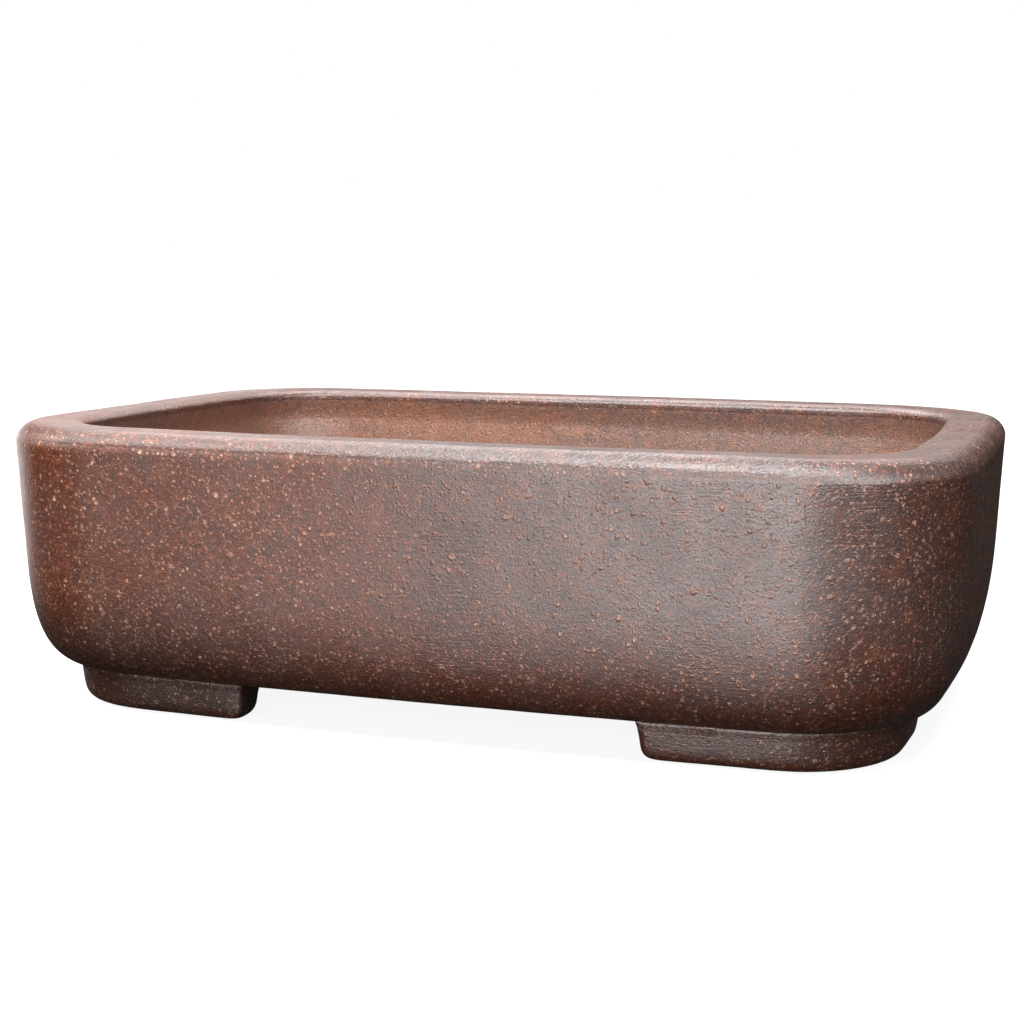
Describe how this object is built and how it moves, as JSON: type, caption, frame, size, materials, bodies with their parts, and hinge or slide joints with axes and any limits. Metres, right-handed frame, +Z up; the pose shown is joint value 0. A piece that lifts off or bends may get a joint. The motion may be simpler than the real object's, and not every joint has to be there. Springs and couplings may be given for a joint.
{
  "type": "bonsai pot",
  "caption": "Rectangular unglazed stoneware bonsai pot with rounded corners, a thick rounded lip, softly bowed walls and L-shaped corner feet; screened drain holes in the floor.",
  "frame": {"origin": "on the ground under the middle of the pot (bottom centre of the bounding box)", "axes": "+X along the pot's length, +Y from the front wall to the back wall, +Z up"},
  "size_m": [0.2998, 0.2092, 0.0888],
  "materials": {
    "stoneware": "unglazed red-brown stoneware with pale and orange grog, satin matt",
    "screen_plastic": "matt black moulded screen",
    "clip_wire": "copper-brown anodised wire"
  },
  "bodies": {
    "root": {"floor_slab": "stoneware", "front_wall": "stoneware", "back_wall": "stoneware", "left_wall": "stoneware", "right_wall": "stoneware", "front_lip": "stoneware", "back_lip": "stoneware", "left_lip": "stoneware", "right_lip": "stoneware", "foot_front_left": "stoneware", "foot_front_right": "stoneware", "foot_back_left": "stoneware", "foot_back_right": "stoneware", "drain_mesh_left": "screen_plastic", "drain_mesh_right": "screen_plastic", "mesh_clip_left": "clip_wire", "mesh_clip_right": "clip_wire"}
  },
  "joints": []
}
